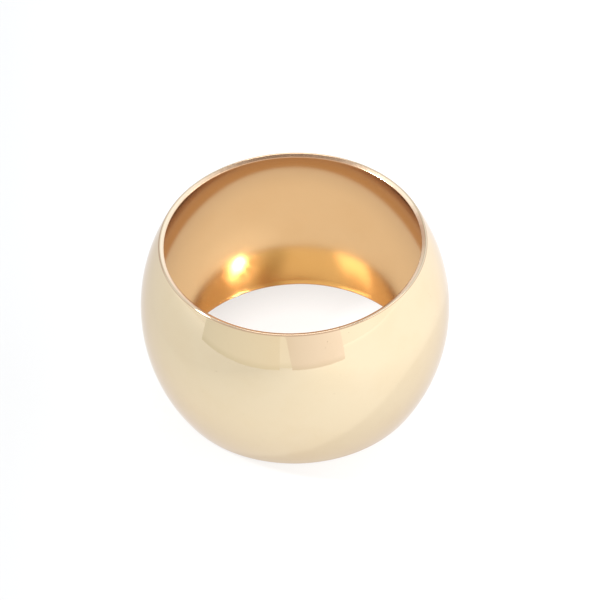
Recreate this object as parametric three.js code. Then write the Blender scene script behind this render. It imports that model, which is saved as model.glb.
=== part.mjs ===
// A polished gold-plated metal ring for a table napkin, in millimetres, +Z up.
//
// The ring is one piece of sheet metal: a short tube whose middle is bulged outwards, so that its
// wall is a band of a barrel, open at both ends. The sheet is 0.85 mm thick at the cut ends and
// thinner towards the widest part, where bulging stretched it. The cut ends stay square to the outer
// face, so they face slightly inwards, and polishing has worn a narrow flat land on the outer corner
// of each. The ring stands on the lower land. The origin is the centre of that land's plane.

import * as THREE from "three";
import { mergeVertices } from "three/addons/utils/BufferGeometryUtils.js";

// Driving dimensions.
const OUTER_DIAMETER = 45; // across the widest part of the bulge
const HEIGHT = 26.15; // from the lower land to the upper one
const WIDEST_HEIGHT = 13.3; // of the widest part above the lower land, so a little above the middle
const WIDEST_WALL = 0.6; // thickness of the metal at the widest part
const BULGE_RADIUS = 27.25; // of the outer face, in a section through the axis
const INNER_BULGE_RADIUS = 24.78; // of the inner face, which leaves 0.85 mm of metal at the ends
const CORNER_WEAR = 0.08; // how far each land lies below the sharp outer corner that was there
const INNER_EDGE_BREAK = 0.12; // what polishing took off the inner corner, along each of its faces

// How finely the curved faces are divided.
const STEPS_ROUND = 120;
const STEPS_OUTER = 14;
const STEPS_INNER = 12;

// Worked out from the above. The centres of both faces' arcs lie across the axis, level with the
// widest part.
const OUTER_CENTRE_X = OUTER_DIAMETER / 2 - BULGE_RADIUS;
const INNER_CENTRE_X = OUTER_DIAMETER / 2 - WIDEST_WALL - INNER_BULGE_RADIUS;

// A point of the wall's section, at a distance from an arc's centre and an angle above its level.
function sectionPoint(centreX, radius, angle) {
  return new THREE.Vector2(
    centreX + radius * Math.cos(angle),
    WIDEST_HEIGHT + radius * Math.sin(angle),
  );
}

// Points along an arc of the section, both ends included.
function sectionArc(centreX, radius, fromAngle, toAngle, steps) {
  return Array.from({ length: steps + 1 }, (_, i) =>
    sectionPoint(centreX, radius, THREE.MathUtils.lerp(fromAngle, toAngle, i / steps)),
  );
}

// One cut end: the angles where the two faces stop short of it, and its own corners. reach is the
// land's distance from the widest part, and side is 1 above it and -1 below. The cut end lies on a
// line through the outer arc's centre, and innerReach is how far along it the inner face crosses it.
function cutEnd(reach, side) {
  const angle = Math.asin((reach + CORNER_WEAR) / BULGE_RADIUS);
  const apart = INNER_CENTRE_X - OUTER_CENTRE_X;
  const across = apart * Math.sin(angle);
  const innerReach = apart * Math.cos(angle) + Math.sqrt(INNER_BULGE_RADIUS ** 2 - across ** 2);
  const innerAngle = Math.asin((innerReach * Math.sin(angle)) / INNER_BULGE_RADIUS);
  return {
    innerFaceStop: side * (innerAngle - INNER_EDGE_BREAK / INNER_BULGE_RADIUS),
    outerFaceStop: side * Math.asin(reach / BULGE_RADIUS),
    innerCorner: sectionPoint(OUTER_CENTRE_X, innerReach + INNER_EDGE_BREAK, side * angle),
    landInnerEdge: sectionPoint(OUTER_CENTRE_X, reach / Math.sin(angle), side * angle),
  };
}

// The section runs down the inner face and up the outer one, with a corner at the widest part. Each
// cut end goes square across the sheet, from the broken inner corner to the land.
function bandSection() {
  const upper = cutEnd(HEIGHT - WIDEST_HEIGHT, 1);
  const lower = cutEnd(WIDEST_HEIGHT, -1);
  const inner = (from, to, steps) =>
    sectionArc(INNER_CENTRE_X, INNER_BULGE_RADIUS, from, to, steps);
  const outer = (from, to, steps) => sectionArc(OUTER_CENTRE_X, BULGE_RADIUS, from, to, steps);
  const section = [
    ...inner(upper.innerFaceStop, lower.innerFaceStop, STEPS_INNER),
    lower.innerCorner,
    lower.landInnerEdge,
    ...outer(lower.outerFaceStop, 0, STEPS_OUTER / 2),
    ...outer(0, upper.outerFaceStop, STEPS_OUTER / 2).slice(1),
    upper.landInnerEdge,
    upper.innerCorner,
  ];
  return [...section, section[0]];
}

// The section turned round the axis. A lathe turns round Y, so the result is stood up along Z.
function bandGeometry() {
  const turned = new THREE.LatheGeometry(bandSection(), STEPS_ROUND);
  turned.rotateX(Math.PI / 2);
  turned.deleteAttribute("normal");
  turned.deleteAttribute("uv");
  const closed = mergeVertices(turned, 1e-4);
  closed.computeVertexNormals();
  return closed;
}

const polishedGold = new THREE.MeshStandardMaterial({
  name: "polished_gold",
  color: new THREE.Color(0.96, 0.84, 0.64),
  metalness: 1,
  roughness: 0.08,
});

const band = new THREE.Mesh(bandGeometry(), polishedGold);
band.name = "band";

const napkinRing = new THREE.Group();
napkinRing.name = "napkin_ring";
napkinRing.add(band);

export default napkinRing;
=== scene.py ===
# A barrel-shaped, gold-plated napkin ring standing on a light table, with cards and lights round it.
#
# Lengths are metres. The ring's axis is Z, and its foot is at z = 0. The band is turned from its
# section in fine steps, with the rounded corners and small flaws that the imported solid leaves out.

import math
import random

import bpy
from mathutils import Matrix, Vector


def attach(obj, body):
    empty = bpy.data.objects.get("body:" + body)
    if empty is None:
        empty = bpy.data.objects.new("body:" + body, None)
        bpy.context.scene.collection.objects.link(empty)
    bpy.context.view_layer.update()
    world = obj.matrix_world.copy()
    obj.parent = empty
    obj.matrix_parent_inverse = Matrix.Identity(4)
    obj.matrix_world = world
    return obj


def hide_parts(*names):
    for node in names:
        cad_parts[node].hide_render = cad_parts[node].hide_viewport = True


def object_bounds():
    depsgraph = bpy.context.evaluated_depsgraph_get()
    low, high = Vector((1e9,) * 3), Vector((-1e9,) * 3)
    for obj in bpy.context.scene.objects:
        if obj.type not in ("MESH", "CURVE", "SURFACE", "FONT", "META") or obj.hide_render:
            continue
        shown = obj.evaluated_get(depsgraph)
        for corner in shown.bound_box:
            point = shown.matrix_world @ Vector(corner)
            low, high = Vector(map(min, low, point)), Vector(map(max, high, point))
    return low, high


MM = 0.001

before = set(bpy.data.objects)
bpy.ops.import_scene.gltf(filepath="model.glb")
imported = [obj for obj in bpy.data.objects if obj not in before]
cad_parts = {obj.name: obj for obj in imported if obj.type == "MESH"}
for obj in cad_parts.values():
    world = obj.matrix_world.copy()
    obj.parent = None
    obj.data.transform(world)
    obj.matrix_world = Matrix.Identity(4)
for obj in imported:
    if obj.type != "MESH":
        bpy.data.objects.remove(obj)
cad_low, cad_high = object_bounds()

# The ring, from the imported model's box.
RADIUS = (cad_high.x - cad_low.x) / 2
HEIGHT = cad_high.z - cad_low.z

# The wall's section. Both faces are arcs whose centres are level with the widest part.
WIDEST_HEIGHT = 13.3 * MM
WIDEST_WALL = 0.6 * MM
BULGE_RADIUS = 27.25 * MM
INNER_BULGE_RADIUS = 24.78 * MM
CORNER_WEAR = 0.08 * MM  # how far polishing lowered the sharp outer corners
INNER_CORNER_RADIUS = 0.1 * MM
OUTER_CENTRE = Vector((RADIUS - BULGE_RADIUS, 0))
INNER_CENTRE = Vector((RADIUS - WIDEST_WALL - INNER_BULGE_RADIUS, 0))

# How far the real ring strays from a perfect turned shape, always to the inside of it.
FORMING_ERROR = 0.012 * MM
RIM_UNEVENNESS = 0.02 * MM

# How finely the band is divided.
STEPS_ROUND = 480
STEPS_OUTER_FACE = 24  # of each half of the section
STEPS_INNER_FACE = 20
STEPS_OUTER_CORNER = 8
STEPS_CUT_END = 4
STEPS_INNER_CORNER = 5


# ---------------------------------------------------------------- the band's section
# Points of the section are (distance from the axis, height above the widest part).

def arc_points(centre, radius, start, stop, steps):
    """Points along an arc, both ends included."""
    angles = [start + (stop - start) * i / steps for i in range(steps + 1)]
    return [centre + radius * Vector((math.cos(a), math.sin(a))) for a in angles]


def half_section(reach):
    """One half of the wall, from the widest part to the cut end whose land is reach above it.

    Returns the points of the outer face, of the cut end from the outer face to the inner one, and
    of the inner face back to the widest part. The cut end is square to the outer face."""
    angle = math.asin((reach + CORNER_WEAR) / BULGE_RADIUS)
    quarter = math.pi / 2
    along = Vector((math.cos(angle), math.sin(angle)))
    inwards = Vector((math.sin(angle), -math.cos(angle)))

    # The outer rounding takes exactly CORNER_WEAR off a square corner leaning at this angle.
    outer_rounding = CORNER_WEAR / (math.sqrt(2) * math.cos(math.pi / 4 - angle) - 1)
    outer_reach = BULGE_RADIUS - outer_rounding
    outer_stop = angle - math.asin(outer_rounding / outer_reach)
    outer_from = Vector((math.cos(outer_stop), math.sin(outer_stop)))
    outer_at = OUTER_CENTRE + outer_reach * outer_from

    # The inner rounding touches the cut end's line and the inner face's arc.
    apart = OUTER_CENTRE - INNER_CENTRE + INNER_CORNER_RADIUS * inwards
    lean = apart.dot(along)
    beyond = (INNER_BULGE_RADIUS + INNER_CORNER_RADIUS) ** 2 - apart.length_squared
    inner_at = INNER_CENTRE + apart + (math.sqrt(lean**2 + beyond) - lean) * along
    from_centre = inner_at - INNER_CENTRE
    inner_stop = math.atan2(from_centre.y, from_centre.x)

    outer_corner = arc_points(
        outer_at, outer_rounding, outer_stop, angle + quarter, STEPS_OUTER_CORNER
    )
    inner_corner = arc_points(
        inner_at, INNER_CORNER_RADIUS, angle + quarter, inner_stop + 2 * quarter, STEPS_INNER_CORNER
    )
    first, last = outer_corner[-1], inner_corner[0]
    across = [first.lerp(last, i / STEPS_CUT_END) for i in range(1, STEPS_CUT_END)]
    outer_face = arc_points(OUTER_CENTRE, BULGE_RADIUS, 0, outer_stop, STEPS_OUTER_FACE)
    inner_face = arc_points(INNER_CENTRE, INNER_BULGE_RADIUS, inner_stop, 0, STEPS_INNER_FACE)
    return outer_face[:-1], outer_corner + across + inner_corner, inner_face[1:]


def rows_of_half(reach, side):
    """The half section above (side 1) or below (side -1) the widest part, as rows for the mesh:
    [(distance from the axis, height, inner, end), ...], from the outer face to the inner one.

    inner runs from 0 on the outer face to 1 on the inner one, and end is 1 on the cut end."""
    outer_face, end, inner_face = half_section(reach)
    last = len(end) - 1
    rows = [(point, 0.0, 0.0) for point in outer_face]
    rows += [(point, i / last, 1.0) for i, point in enumerate(end)]
    rows += [(point, 1.0, 0.0) for point in inner_face]
    return [(point.x, WIDEST_HEIGHT + side * point.y, inner, end) for point, inner, end in rows]


def wall_section():
    """The closed outline of the wall: up the outer face, over the rim and down the inner face."""
    upper = rows_of_half(HEIGHT - WIDEST_HEIGHT, 1)
    lower = rows_of_half(WIDEST_HEIGHT, -1)
    # Both halves hold the two points at the widest part, so the lower one leaves them out.
    return upper + lower[-2:0:-1]


# ---------------------------------------------------------------- the band

def waviness(rng, waves, turns, amplitude):
    """A smooth random function of the angle round the axis, in metres."""
    parts = [
        (rng.randint(*turns), rng.uniform(0, 2 * math.pi), rng.uniform(0.4, 1.0)) for _ in range(waves)
    ]
    scale = amplitude / sum(weight for _, _, weight in parts)
    return lambda angle: scale * sum(w * math.sin(n * angle + p) for n, p, w in parts)


def band_vertices(section):
    """The section repeated round Z, with the small unevenness of forming and polishing."""
    rng = random.Random(7)
    forming = [waviness(rng, waves=5, turns=(2, 9), amplitude=FORMING_ERROR) for _ in range(3)]
    rim_wear = {
        side: waviness(rng, waves=9, turns=(5, 42), amplitude=RIM_UNEVENNESS) for side in (1, -1)
    }
    vertices = []
    for step in range(STEPS_ROUND):
        angle = 2 * math.pi * step / STEPS_ROUND
        at_foot, at_middle, at_top = (f(angle) for f in forming)
        for reach, height, _, end in section:
            rise = (height - WIDEST_HEIGHT) / (HEIGHT / 2)
            side = 1 if rise > 0 else -1
            at_end = at_top if rise > 0 else at_foot
            out_of_round = at_middle * (1 - rise**2) + at_end * rise**2
            radius = reach - FORMING_ERROR + out_of_round
            height -= end * side * abs(rim_wear[side](angle))
            vertices.append((radius * math.cos(angle), radius * math.sin(angle), height))
    return vertices


def band_faces(rows):
    """Four-cornered faces from each repeat of the section, which has this many rows, to the next."""
    faces = []
    for step in range(STEPS_ROUND):
        here, there = step * rows, (step + 1) % STEPS_ROUND * rows
        for row in range(rows):
            after = (row + 1) % rows
            faces.append((here + row, there + row, there + after, here + after))
    return faces


def turned_band():
    """The band, with two attributes that say where its inner face and its cut ends are."""
    section = wall_section()
    faces = band_faces(len(section))
    mesh = bpy.data.meshes.new("band_turned")
    mesh.from_pydata(band_vertices(section), [], faces)
    mesh.polygons.foreach_set("use_smooth", [True] * len(faces))
    for name, column in (("inner_face", 2), ("cut_end", 3)):
        attribute = mesh.attributes.new(name, "FLOAT", "POINT")
        values = [row[column] for row in section] * STEPS_ROUND
        attribute.data.foreach_set("value", values)
    mesh.validate()
    band = bpy.data.objects.new("band_polished", mesh)
    bpy.context.scene.collection.objects.link(band)
    return band


# ---------------------------------------------------------------- building materials

class Nodes:
    """Short calls for building a node tree."""

    def __init__(self, tree):
        self.tree = tree
        tree.nodes.clear()

    def add(self, kind, inputs=None, **settings):
        node = self.tree.nodes.new(kind)
        for name, value in settings.items():
            setattr(node, name, value)
        for socket, value in (inputs or {}).items():
            if isinstance(value, bpy.types.NodeSocket):
                self.tree.links.new(value, node.inputs[socket])
            else:
                node.inputs[socket].default_value = value
        return node

    def math(self, operation, a, b):
        return self.add("ShaderNodeMath", {0: a, 1: b}, operation=operation).outputs[0]

    def times(self, a, b):
        return self.math("MULTIPLY", a, b)

    def plus(self, a, b):
        return self.math("ADD", a, b)

    def fade(self, value, low, high, start=0.0, stop=1.0):
        """value, mapped from low..high to start..stop and clamped."""
        inputs = {"Value": value, "From Min": low, "From Max": high, "To Min": start, "To Max": stop}
        return self.add("ShaderNodeMapRange", inputs).outputs["Result"]

    def mix_colour(self, factor, a, b, blend="MIX"):
        node = self.add("ShaderNodeMix", {"Factor": factor}, data_type="RGBA", blend_type=blend)
        for socket, value in ((node.inputs[6], a), (node.inputs[7], b)):
            if isinstance(value, bpy.types.NodeSocket):
                self.tree.links.new(value, socket)
            else:
                socket.default_value = (*value, 1.0)
        return node.outputs[2]

    def tint(self, factor, colour, filtered_by):
        """colour, multiplied by another one where factor is 1."""
        return self.mix_colour(factor, colour, filtered_by, blend="MULTIPLY")

    def noise(self, vector, scale, detail, roughness=0.5):
        inputs = {"Vector": vector, "Scale": scale, "Detail": detail, "Roughness": roughness}
        return self.add("ShaderNodeTexNoise", inputs).outputs["Fac"]

    def bump(self, height, strength, distance, onto=None):
        inputs = {"Strength": strength, "Distance": distance, "Height": height}
        if onto is not None:
            inputs["Normal"] = onto
        return self.add("ShaderNodeBump", inputs).outputs[0]


def new_material(name):
    material = bpy.data.materials.new(name)
    material.use_nodes = True
    return material, Nodes(material.node_tree)


# ---------------------------------------------------------------- the polished gold

OUTER_GOLD = (0.775, 0.65, 0.455)
INNER_GOLD = (0.735, 0.485, 0.25)
CUT_END_GOLD = (0.72, 0.51, 0.37)
GLANCING_GOLD = (0.86, 0.83, 0.84)  # how much of the light stays at a glancing angle
PIT_BROWN = (0.35, 0.24, 0.14)

# What the gold is multiplied by in places; all but the tarnish are painted shade.
TARNISHED = (0.96, 0.92, 0.86)
UNDER_RIM_PAINTED_SHADE = (0.86, 0.80, 0.74)  # painted shade inside, in a strip below the upper cut end: the dark reflection of the shaded floor along the foot
# Painted shade on the cut end's rounded corners: thin dark lines standing in for the dark things they
# reflect.
OUTER_CORNER_PAINTED_SHADE = (0.74, 0.72, 0.68)
INNER_CORNER_PAINTED_SHADE = (0.88, 0.80, 0.72)

# How much of each colour there is at most.
TARNISH_SHARE = 0.35
UNDER_RIM_PAINTED_SHADE_SHARE = 0.8
CUT_END_SHARE = 0.8
PIT_SHARE = 0.6

# Where they begin and end.
UNDER_RIM_PAINTED_SHADE_STRIP = 4.5 * MM
OUTER_CORNER_SHADE_PART = (0.42, 0.5)  # of the way across the cut end, from the outer face
INNER_CORNER_SHADE_PART = (0.6, 0.75)

# The levels of noise between which each flaw comes in.
TARNISH_LEVELS = (0.45, 0.75)
HAZE_LEVELS = (0.35, 0.75)
PIT_LEVELS = (0.80, 0.84)
LINE_LEVELS = (0.55, 0.8)

HAZE_ROUGHNESS = (0.02, 0.045)  # where the polish is cleanest, and where it is haziest
INNER_ROUGHNESS = 0.11  # these are added to that
CUT_END_ROUGHNESS = 0.06
LINE_ROUGHNESS = 0.015

# How close together the features of the surface lie, as repeats to a metre.
WIPING_HAZE = 160.0
SWELLS = 110.0
PITS = 2600.0
NICKS = 1700.0
LINES_UP = 9000.0
LINES_ROUND = 6.0  # to a radian round the axis


def gold_colour(n, place, height, inner, end, haze):
    """Pale gold outside and deeper gold inside, with tarnish and pits, and painted shade: a strip
    under the rim inside and thin dark lines on the rim's corners.
    """
    gold = n.mix_colour(inner, OUTER_GOLD, INNER_GOLD)
    tarnish = n.fade(haze, *TARNISH_LEVELS, stop=TARNISH_SHARE)
    gold = n.tint(tarnish, gold, TARNISHED)
    # Painted shade: a darker strip inside below the upper rim, standing in for the shaded floor that
    # it mirrors.
    painted_rim_shade = n.fade(height, HEIGHT - UNDER_RIM_PAINTED_SHADE_STRIP, HEIGHT, stop=UNDER_RIM_PAINTED_SHADE_SHARE)
    gold = n.tint(n.times(painted_rim_shade, inner), gold, UNDER_RIM_PAINTED_SHADE)
    gold = n.mix_colour(n.times(end, CUT_END_SHARE), gold, CUT_END_GOLD)
    # Painted shade: the cut end's outer and inner corners are darkened into thin dark lines, standing
    # in for the dark reflections along the rim.
    outer_corner = n.times(end, n.fade(inner, *OUTER_CORNER_SHADE_PART, start=1.0, stop=0.0))
    gold = n.tint(outer_corner, gold, OUTER_CORNER_PAINTED_SHADE)
    inner_corner = n.times(end, n.fade(inner, *INNER_CORNER_SHADE_PART))
    gold = n.tint(inner_corner, gold, INNER_CORNER_PAINTED_SHADE)
    pit = n.fade(n.noise(place, PITS, detail=1.0), *PIT_LEVELS)
    return n.mix_colour(n.times(pit, PIT_SHARE), gold, PIT_BROWN)


def gold_roughness(n, inner, end, haze, lines):
    """Nearly a mirror, and duller where it is hazy or lined, on the inner face and on the cut ends."""
    roughness = n.fade(haze, *HAZE_LEVELS, *HAZE_ROUGHNESS)
    roughness = n.plus(roughness, n.times(inner, INNER_ROUGHNESS))
    roughness = n.plus(roughness, n.times(end, CUT_END_ROUGHNESS))
    return n.plus(roughness, n.fade(lines, *LINE_LEVELS, stop=LINE_ROUGHNESS))


def gold_bumps(n, place, end, lines):
    """Slow swells under fine polishing lines, and nicks on the cut ends."""
    swells = n.bump(n.noise(place, SWELLS, detail=1.0), strength=0.3, distance=0.04 * MM)
    lined = n.bump(lines, strength=0.15, distance=0.003 * MM, onto=swells)
    nicks = n.times(n.noise(place, NICKS, detail=1.0), end)
    return n.bump(nicks, strength=0.4, distance=0.02 * MM, onto=lined)


def polished_gold():
    """Mirror-polished pale gold plate, with wiping haze and faint polishing lines, and painted shade
    along the rim's corners and under the rim inside.
    """
    material, n = new_material("polished_gold")
    place = n.add("ShaderNodeTexCoord").outputs["Object"]
    x, y, height = n.add("ShaderNodeSeparateXYZ", {0: place}).outputs
    inner = n.add("ShaderNodeAttribute", attribute_name="inner_face").outputs["Fac"]
    end = n.add("ShaderNodeAttribute", attribute_name="cut_end").outputs["Fac"]
    end = n.fade(end, 0.85, 1.0)  # the attribute itself fades over a whole step of the faces

    # Coordinates that follow the polishing wheel: slow round the ring, quick along its height.
    round_ring = n.times(n.math("ARCTAN2", y, x), LINES_ROUND)
    up_ring = n.times(height, LINES_UP)
    lines_at = n.add("ShaderNodeCombineXYZ", {"X": round_ring, "Z": up_ring}).outputs[0]
    lines = n.noise(lines_at, 1.0, detail=3.0, roughness=0.6)
    haze = n.noise(place, WIPING_HAZE, detail=3.0)

    shader = n.add(
        "ShaderNodeBsdfPrincipled",
        {
            "Base Color": gold_colour(n, place, height, inner, end, haze),
            "Metallic": 1.0,
            "Roughness": gold_roughness(n, inner, end, haze, lines),
            "Specular Tint": (*GLANCING_GOLD, 1.0),
            "Normal": gold_bumps(n, place, end, lines),
        },
    )
    n.add("ShaderNodeOutputMaterial", {"Surface": shader.outputs[0]})
    return material


# ---------------------------------------------------------------- the studio's materials

CARD_FOOT = (0.90, 0.90, 0.87)  # what a card's light is multiplied by at its foot
CARD_FOOT_PART = 0.15  # how much of the card's height the foot takes up

TABLE_WHITE = 0.2  # how much of the light that falls on the sheet it gives back
TABLE_GLOW_COLOUR = (1.0, 0.98, 0.965)
TABLE_GLOW = (0.59, 1.0)  # what it gives off to the left of the ring, and to its right,
TABLE_GLOW_SIDE = 0.05  # this far from the axis
TABLE_GLOW_FAR = 0.2  # what it gives off besides,
TABLE_GLOW_FAR_FROM = 0.1  # growing from this far from the axis
TABLE_GLOW_FAR_TO = 1.0  # to this far
TABLE_GLOW_INSIDE = 0.09  # what it gives off besides, inside the ring
FOOT_SHADE = 0.16  # how much less it gives off just inside the ring's foot
FOOT_SHADE_FROM = 12 * MM  # where that shade begins, from the axis
FOOT_RADIUS = 18.6 * MM


def glowing(name, radiance_from, radiance_to):
    """A surface that gives off a steady light, from one radiance at its low-X end to another, and a
    little less along its foot."""
    material, n = new_material(name)
    place = n.add("ShaderNodeTexCoord").outputs["Generated"]
    across, _, up = n.add("ShaderNodeSeparateXYZ", {0: place}).outputs
    colour = n.mix_colour(n.fade(across, 0.0, 1.0), radiance_from, radiance_to)
    foot = n.fade(up, 0.0, CARD_FOOT_PART, start=1.0, stop=0.0)
    colour = n.tint(foot, colour, CARD_FOOT)
    glow = n.add("ShaderNodeEmission", {"Color": colour, "Strength": 1.0})
    n.add("ShaderNodeOutputMaterial", {"Surface": glow.outputs[0]})
    return material


def table_glow(n):
    """How strongly the light table's sheet glows at each place."""
    place = n.add("ShaderNodeTexCoord").outputs["Object"]
    across = n.add("ShaderNodeSeparateXYZ", {0: place}).outputs["X"]
    from_axis = n.add("ShaderNodeVectorMath", {0: place}, operation="LENGTH").outputs["Value"]
    inside = n.math("LESS_THAN", from_axis, FOOT_RADIUS)
    shade = n.times(n.fade(from_axis, FOOT_SHADE_FROM, FOOT_RADIUS, stop=FOOT_SHADE), inside)
    far = n.fade(from_axis, TABLE_GLOW_FAR_FROM, TABLE_GLOW_FAR_TO, stop=TABLE_GLOW_FAR)
    strength = n.fade(across, -TABLE_GLOW_SIDE, TABLE_GLOW_SIDE, *TABLE_GLOW)
    strength = n.plus(strength, far)
    strength = n.plus(strength, n.times(inside, TABLE_GLOW_INSIDE))
    return n.math("SUBTRACT", strength, shade)


def light_table():
    """A matt sheet that glows white, a little less along the inside of the ring's foot, where the
    wall shades it. From underneath it is clear, so that the foot shows."""
    material, n = new_material("light_table")
    matt = n.add("ShaderNodeBsdfDiffuse", {"Color": (TABLE_WHITE, TABLE_WHITE, TABLE_WHITE, 1.0)})
    glow_inputs = {"Color": (*TABLE_GLOW_COLOUR, 1.0), "Strength": table_glow(n)}
    glow = n.add("ShaderNodeEmission", glow_inputs)
    lit = n.add("ShaderNodeAddShader", {0: matt.outputs[0], 1: glow.outputs[0]})
    clear = n.add("ShaderNodeBsdfTransparent")
    below = n.add("ShaderNodeNewGeometry").outputs["Backfacing"]
    both = n.add("ShaderNodeMixShader", {0: below, 1: lit.outputs[0], 2: clear.outputs[0]})
    n.add("ShaderNodeOutputMaterial", {"Surface": both.outputs[0]})
    return material


# ---------------------------------------------------------------- the studio

TABLE_HALF = 3.0
TABLE_DROP = 0.01 * MM  # a hair below the ring's foot, so that the two don't share a plane

KEY_WHITE = (0.94, 1.0, 1.08)
FILL_WHITE = (0.88, 1.02, 1.12)
PLAIN_WHITE = (1.0, 1.0, 1.0)

# Dim parts of the room, which are soft-edged circles: what the room's colour is multiplied by
# there, azimuth, elevation, and the angles from the centre where the edge begins and ends.
DIM_PATCHES = (
    ((0.66, 0.65, 0.58), -27, 44, 2, 17),
    ((0.68, 0.62, 0.56), -30, 26, 4, 19),
    ((0.70, 0.55, 0.50), -44, 26, 2, 16),
)

# Where the room's colours turn into each other, along X, Y and Z of a unit direction.
SIDES_FADE = (-0.8, 0.8)  # from the left colour to the right one
BACK_FADE = (-0.1, 0.4)  # to the colour behind the ring
BACK_FADE_UP = (0.05, 0.35)  # which begins above the table
ZENITH_FADE = (math.sin(math.radians(58)), math.sin(math.radians(76)))


def direction(azimuth, elevation):
    """A unit vector. Azimuth 0 is +Y, behind the ring, and 90 is +X, to its right."""
    a, e = math.radians(azimuth), math.radians(elevation)
    return Vector((math.sin(a) * math.cos(e), math.cos(a) * math.cos(e), math.sin(e)))


def flat_piece(name, corners, material):
    """A four-cornered sheet of the studio's."""
    mesh = bpy.data.meshes.new(name)
    mesh.from_pydata(corners, [], [(0, 1, 2, 3)])
    mesh.materials.append(material)
    sheet = bpy.data.objects.new(name, mesh)
    bpy.context.scene.collection.objects.link(sheet)
    return sheet


def table():
    """The light table's sheet, just below the ring."""
    half, z = TABLE_HALF, -TABLE_DROP
    corners = [(-half, -half, z), (half, -half, z), (half, half, z), (-half, half, z)]
    flat_piece("table", corners, light_table())


def standing_card(name, foot_from, foot_to, top, radiance, radiance_to=None, slant=0.0):
    """An upright card between two points of the table, seen only in the ring.

    slant is how much further to the left its first edge reaches at the top than at the foot."""
    (x0, y0), (x1, y1) = foot_from, foot_to
    corners = [(x0, y0, 0), (x1, y1, 0), (x1, y1, top), (x0 - slant, y0, top)]
    card = flat_piece(name, corners, glowing(name, radiance, radiance_to or radiance))
    card.visible_camera = False
    card.visible_shadow = False


def soft_light(name, azimuth, elevation, distance, size, radiance, colour):
    """A rectangular light aimed at the ring, of a given brightness as a mirror would show it."""
    data = bpy.data.lights.new(name, "AREA")
    data.shape = "RECTANGLE"
    data.size, data.size_y = size
    data.color = colour
    data.energy = radiance * math.pi * size[0] * size[1]
    light = bpy.data.objects.new(name, data)
    bpy.context.scene.collection.objects.link(light)
    way = direction(azimuth, elevation)
    light.location = Vector((0, 0, HEIGHT / 2)) + way * distance
    light.rotation_euler = way.to_track_quat("Z", "Y").to_euler()
    light.visible_camera = False


def soft_patch(n, way, azimuth, elevation, inside, outside):
    """1 within one angle of a direction, falling to 0 at another angle from it."""
    towards = {0: way, 1: direction(azimuth, elevation)}
    near = n.add("ShaderNodeVectorMath", towards, operation="DOT_PRODUCT").outputs["Value"]
    return n.fade(near, math.cos(math.radians(outside)), math.cos(math.radians(inside)))


def room(left, right, behind, zenith):
    """Soft light from all round: brighter on the right, cool behind the ring and dim overhead.

    A dim stretch behind the ring to the left, brown below, darkens part of the inside."""
    world = bpy.data.worlds.new("room")
    world.use_nodes = True
    bpy.context.scene.world = world
    n = Nodes(world.node_tree)
    way = n.add("ShaderNodeTexCoord").outputs["Generated"]
    rightwards, backwards, upwards = n.add("ShaderNodeSeparateXYZ", {0: way}).outputs
    colour = n.mix_colour(n.fade(rightwards, *SIDES_FADE), left, right)
    back_part = n.times(n.fade(backwards, *BACK_FADE), n.fade(upwards, *BACK_FADE_UP))
    colour = n.mix_colour(back_part, colour, behind)
    for dim, azimuth, elevation, inside, outside in DIM_PATCHES:
        patch = soft_patch(n, way, azimuth, elevation, inside, outside)
        colour = n.tint(patch, colour, dim)
    colour = n.mix_colour(n.fade(upwards, *ZENITH_FADE), colour, zenith)
    glow = n.add("ShaderNodeBackground", {"Color": colour, "Strength": 1.0})
    n.add("ShaderNodeOutputWorld", {"Surface": glow.outputs[0]})


def lights():
    """A small bright light to the left, a wide one to the right and a large one overhead."""
    soft_light(
        "key",
        azimuth=-87,
        elevation=50,
        distance=0.9,
        size=(0.075, 0.075),
        radiance=300,
        colour=KEY_WHITE,
    )
    soft_light(
        "fill",
        azimuth=95,
        elevation=48,
        distance=0.32,
        size=(0.19, 0.07),
        radiance=3,
        colour=FILL_WHITE,
    )
    soft_light(
        "overhead",
        azimuth=0,
        elevation=78,
        distance=1.2,
        size=(0.52, 0.46),
        radiance=4,
        colour=PLAIN_WHITE,
    )


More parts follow.
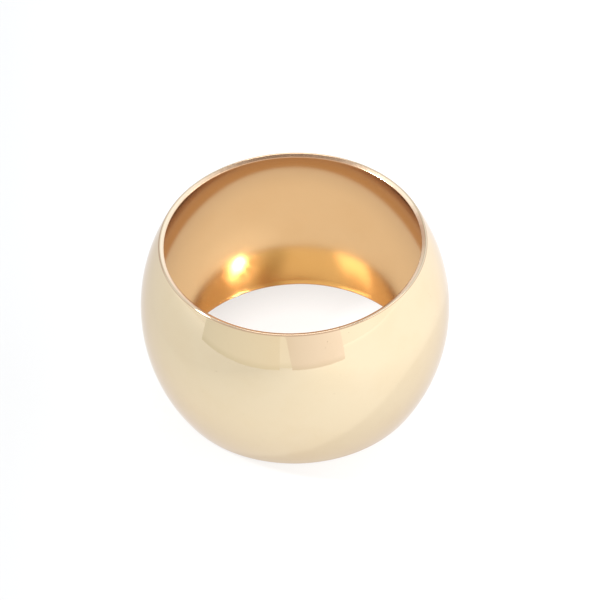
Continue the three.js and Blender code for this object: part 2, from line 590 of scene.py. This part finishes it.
def cards():
    """Two cards in front of the ring, and a third one further off, seen between them."""
    standing_card(
        "card_left",
        foot_from=(-0.133, -0.062),
        foot_to=(-0.025, -0.128),
        top=0.06,
        radiance=(0.88, 0.88, 0.84),
        radiance_to=(1.06, 1.02, 0.94),
    )
    standing_card(
        "card_right",
        foot_from=(-0.007, -0.134),
        foot_to=(0.080, -0.134),
        top=0.06,
        radiance=(1.0, 0.93, 0.90),
        radiance_to=(1.3, 1.2, 1.2),
        slant=0.012,
    )
    standing_card(
        "card_between",
        foot_from=(-0.04, -0.15),
        foot_to=(0.0, -0.15),
        top=0.07,
        radiance=(1.12, 1.10, 1.06),
    )


def studio():
    table()
    room(
        left=(1.04, 1.04, 1.02),
        right=(1.37, 1.37, 1.35),
        behind=(1.44, 1.76, 2.0),
        zenith=(0.36, 0.30, 0.26),
    )
    lights()
    cards()


# ---------------------------------------------------------------- the camera

CAMERA_ELEVATION = 43.84
CAMERA_DISTANCE = 588 * MM
CAMERA_ROLL = 2.12  # degrees; the ring leans to the left in the picture
SENSOR = 36.0
LENS = 242.2
AIM_RIGHT = 0.72 * MM  # the picture's centre, beside and above the ring's centre
AIM_UP = 0.90 * MM


def camera():
    """A long lens in front of the ring, looking down at it and slightly rolled."""
    data = bpy.data.cameras.new("camera")
    data.sensor_width = SENSOR
    data.lens = LENS
    data.clip_start, data.clip_end = 0.01, 20
    taken_from = bpy.data.objects.new("camera", data)
    bpy.context.scene.collection.objects.link(taken_from)
    bpy.context.scene.camera = taken_from

    back = direction(180, CAMERA_ELEVATION)
    level_right = Vector((1, 0, 0))
    level_up = back.cross(level_right)
    roll = math.radians(CAMERA_ROLL)
    right = math.cos(roll) * level_right - math.sin(roll) * level_up
    up = math.sin(roll) * level_right + math.cos(roll) * level_up
    centre = Vector((0, 0, WIDEST_HEIGHT))
    place = centre + back * CAMERA_DISTANCE
    aim = centre + AIM_RIGHT * right + AIM_UP * up
    back = (place - aim).normalized()
    right = up.cross(back).normalized()
    up = back.cross(right)
    turn = Matrix((right, up, back)).transposed().to_4x4()
    taken_from.matrix_world = Matrix.Translation(place) @ turn


# ---------------------------------------------------------------- the scene

band = turned_band()
band.data.materials.append(polished_gold())
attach(band, "root")
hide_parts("band")

studio()
camera()
bpy.context.scene.view_settings.view_transform = "Standard"
bpy.context.scene.cycles.blur_glossy = 0.3
bpy.context.scene.cycles.sample_clamp_indirect = 0
